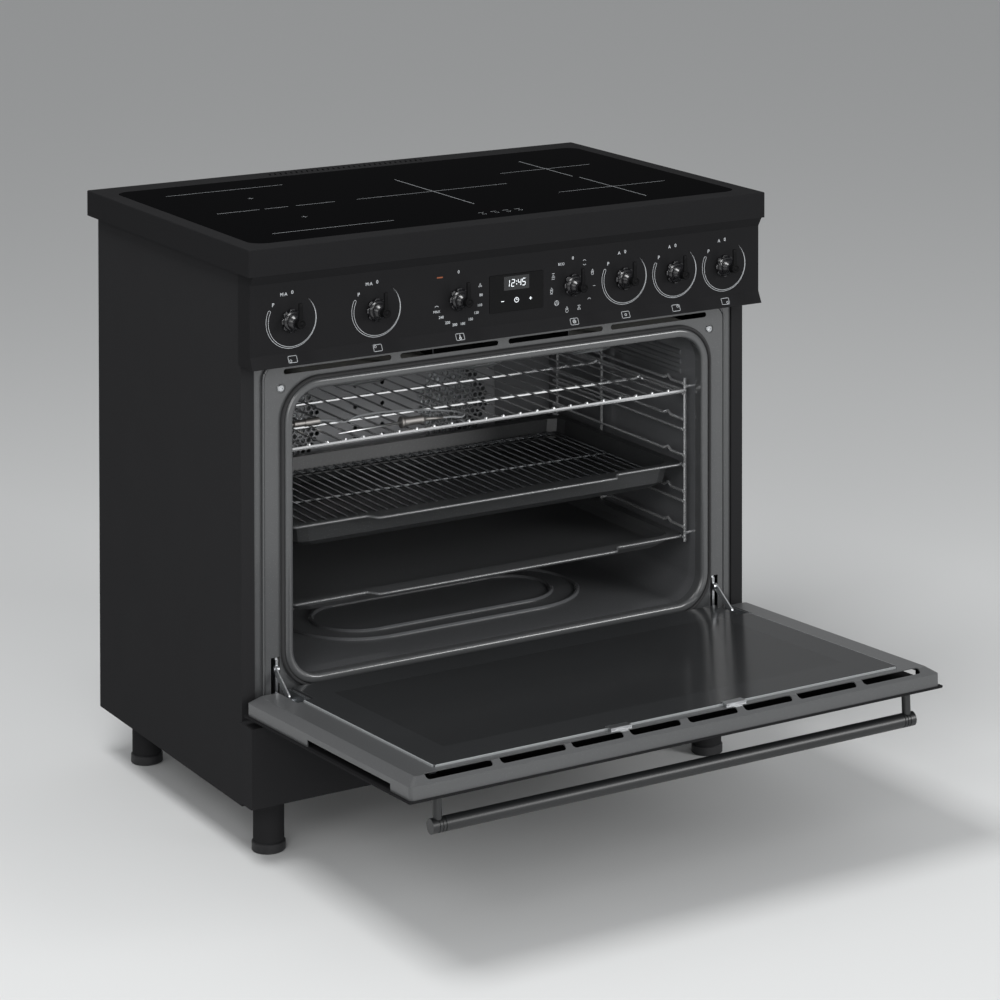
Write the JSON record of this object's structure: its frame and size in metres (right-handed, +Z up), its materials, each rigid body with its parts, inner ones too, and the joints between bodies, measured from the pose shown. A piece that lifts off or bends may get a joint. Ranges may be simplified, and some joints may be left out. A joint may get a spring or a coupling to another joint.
{
  "type": "induction range cooker",
  "caption": "Free-standing induction range with lever knobs, a wide electric oven with its door let down, a wire shelf, two trays and a food probe.",
  "frame": {"origin": "on the floor under the middle of the worktop", "axes": "+X to the right seen from the front, +Y to the back, +Z up"},
  "size_m": [0.9, 1.0754, 0.905],
  "materials": {
    "enamel_dark": "matt textured powder coat, anthracite",
    "hob_glass": "polished black glass ceramic",
    "galvanised": "zinc coated sheet",
    "aluminium": "plain sheet",
    "copper": "lacquered litz wire",
    "board": "printed board with heat sink",
    "black_plastic": "moulded",
    "knob_plastic": "moulded, satin gloss",
    "display_glass": "black printed glass",
    "grey_enamel": "grey vitreous enamel, glossy",
    "tray_enamel": "dark grey vitreous enamel, speckled",
    "gasket": "braided glass fibre",
    "wool": "mineral wool",
    "steel": "stainless steel",
    "chrome": "chromed wire",
    "braid": "steel braided lead",
    "door_glass": "tempered dark tinted glass",
    "clear_glass": "tempered glass",
    "handle_metal": "satin dark coating"
  },
  "bodies": {
    "range": {"hob_frame": "enamel_dark", "ceramic_glass": "hob_glass", "coil_tray": "aluminium", "induction_coils": "copper", "power_boards": "board", "left_side_panel": "enamel_dark", "right_side_panel": "enamel_dark", "back_panel": "galvanised", "terminal_box": "black_plastic", "base_frame": "enamel_dark", "kick_panel": "enamel_dark", "control_panel": "enamel_dark", "clock_display": "display_glass", "knob_switches": "black_plastic", "front_frame": "grey_enamel", "frame_screws": "steel", "door_seal": "gasket", "oven_cavity": "grey_enamel", "insulation": "wool", "fan_cover": "grey_enamel", "fan_motors": "galvanised", "ring_elements": "steel", "grill_element": "steel", "side_rack_left": "chrome", "side_rack_right": "chrome", "blower_housing": "galvanised", "hinge_brackets": "steel"},
    "door": {"door_skin": "enamel_dark", "door_pan": "grey_enamel", "door_inner_glass": "door_glass", "door_middle_glass": "clear_glass", "door_outer_glass": "door_glass", "glass_clips": "steel", "glass_rails": "galvanised", "handle_bar": "handle_metal", "handle_posts": "handle_metal", "hinge_channels": "galvanised"},
    "wire_shelf": {"top_rack": "chrome", "food_probe": "steel", "probe_plug": "steel", "probe_lead": "braid"},
    "deep_tray_set": {"deep_tray": "tray_enamel", "tray_grid": "chrome"},
    "lower_tray": {"lower_tray": "tray_enamel"},
    "convection_fan_left": {"convection_fan_left": "steel"},
    "convection_fan_right": {"convection_fan_right": "steel"},
    "blower_wheel": {"blower_wheel": "aluminium"},
    "hinge_link_left": {"hinge_link_left": "steel"},
    "hinge_link_right": {"hinge_link_right": "steel"},
    "zone_knob_1": {"zone_knob_1": "knob_plastic"},
    "zone_knob_2": {"zone_knob_2": "knob_plastic"},
    "thermostat_knob": {"thermostat_knob": "knob_plastic"},
    "function_knob": {"function_knob": "knob_plastic"},
    "zone_knob_3": {"zone_knob_3": "knob_plastic"},
    "zone_knob_4": {"zone_knob_4": "knob_plastic"},
    "zone_knob_5": {"zone_knob_5": "knob_plastic"},
    "foot_front_left": {"foot_front_left": "black_plastic"},
    "foot_front_right": {"foot_front_right": "black_plastic"},
    "foot_back_left": {"foot_back_left": "black_plastic"},
    "foot_back_right": {"foot_back_right": "black_plastic"}
  },
  "joints": [
    {"name": "door_hinge", "type": "hinge", "parent": "range", "child": "door", "pos_m": [0, -0.28, 0.2295], "axis": [1, 0, 0], "range_deg": [-87, 0]},
    {"name": "hinge_link_left_turn", "type": "hinge", "parent": "range", "child": "hinge_link_left", "pos_m": [-0.3875, -0.252, 0.273], "axis": [1, 0, 0], "range_deg": [0, 37.41]},
    {"name": "hinge_link_right_turn", "type": "hinge", "parent": "range", "child": "hinge_link_right", "pos_m": [0.3875, -0.252, 0.273], "axis": [1, 0, 0], "range_deg": [0, 37.41]},
    {"name": "zone_knob_1_turn", "type": "hinge", "parent": "range", "child": "zone_knob_1", "pos_m": [-0.378, -0.291, 0.794], "axis": [0, 1, 0], "range_deg": [-20, 310]},
    {"name": "zone_knob_2_turn", "type": "hinge", "parent": "range", "child": "zone_knob_2", "pos_m": [-0.239, -0.291, 0.794], "axis": [0, 1, 0], "range_deg": [-20, 310]},
    {"name": "thermostat_knob_turn", "type": "hinge", "parent": "range", "child": "thermostat_knob", "pos_m": [-0.1, -0.291, 0.794], "axis": [0, 1, 0], "range_deg": [0, 250]},
    {"name": "function_knob_turn", "type": "hinge", "parent": "range", "child": "function_knob", "pos_m": [0.1, -0.291, 0.794], "axis": [0, 1, 0], "continuous": true},
    {"name": "zone_knob_3_turn", "type": "hinge", "parent": "range", "child": "zone_knob_3", "pos_m": [0.19267, -0.291, 0.794], "axis": [0, 1, 0], "range_deg": [-20, 310]},
    {"name": "zone_knob_4_turn", "type": "hinge", "parent": "range", "child": "zone_knob_4", "pos_m": [0.28533, -0.291, 0.794], "axis": [0, 1, 0], "range_deg": [-20, 310]},
    {"name": "zone_knob_5_turn", "type": "hinge", "parent": "range", "child": "zone_knob_5", "pos_m": [0.378, -0.291, 0.794], "axis": [0, 1, 0], "range_deg": [-20, 310]},
    {"name": "wire_shelf_slide", "type": "slide", "parent": "range", "child": "wire_shelf", "axis": [0, -1, 0], "range_m": [0, 0.3]},
    {"name": "deep_tray_slide", "type": "slide", "parent": "range", "child": "deep_tray_set", "axis": [0, -1, 0], "range_m": [0, 0.3]},
    {"name": "lower_tray_slide", "type": "slide", "parent": "range", "child": "lower_tray", "axis": [0, -1, 0], "range_m": [0, 0.3]},
    {"name": "convection_fan_left_spin", "type": "hinge", "parent": "range", "child": "convection_fan_left", "pos_m": [-0.146, 0.2, 0.508], "axis": [0, 1, 0], "continuous": true},
    {"name": "convection_fan_right_spin", "type": "hinge", "parent": "range", "child": "convection_fan_right", "pos_m": [0.146, 0.2, 0.508], "axis": [0, 1, 0], "continuous": true},
    {"name": "blower_wheel_spin", "type": "hinge", "parent": "range", "child": "blower_wheel", "pos_m": [0, -0.1705, 0.739], "axis": [1, 0, 0], "continuous": true},
    {"name": "foot_front_left_level", "type": "slide", "parent": "range", "child": "foot_front_left", "axis": [0, 0, -1], "range_m": [0, 0.015]},
    {"name": "foot_front_right_level", "type": "slide", "parent": "range", "child": "foot_front_right", "axis": [0, 0, -1], "range_m": [0, 0.015]},
    {"name": "foot_back_left_level", "type": "slide", "parent": "range", "child": "foot_back_left", "axis": [0, 0, -1], "range_m": [0, 0.015]},
    {"name": "foot_back_right_level", "type": "slide", "parent": "range", "child": "foot_back_right", "axis": [0, 0, -1], "range_m": [0, 0.015]}
  ],
  "couplings": [
    {"joint": "hinge_link_left_turn", "follows": "door_hinge", "ratio": -0.43},
    {"joint": "hinge_link_right_turn", "follows": "door_hinge", "ratio": -0.43}
  ]
}
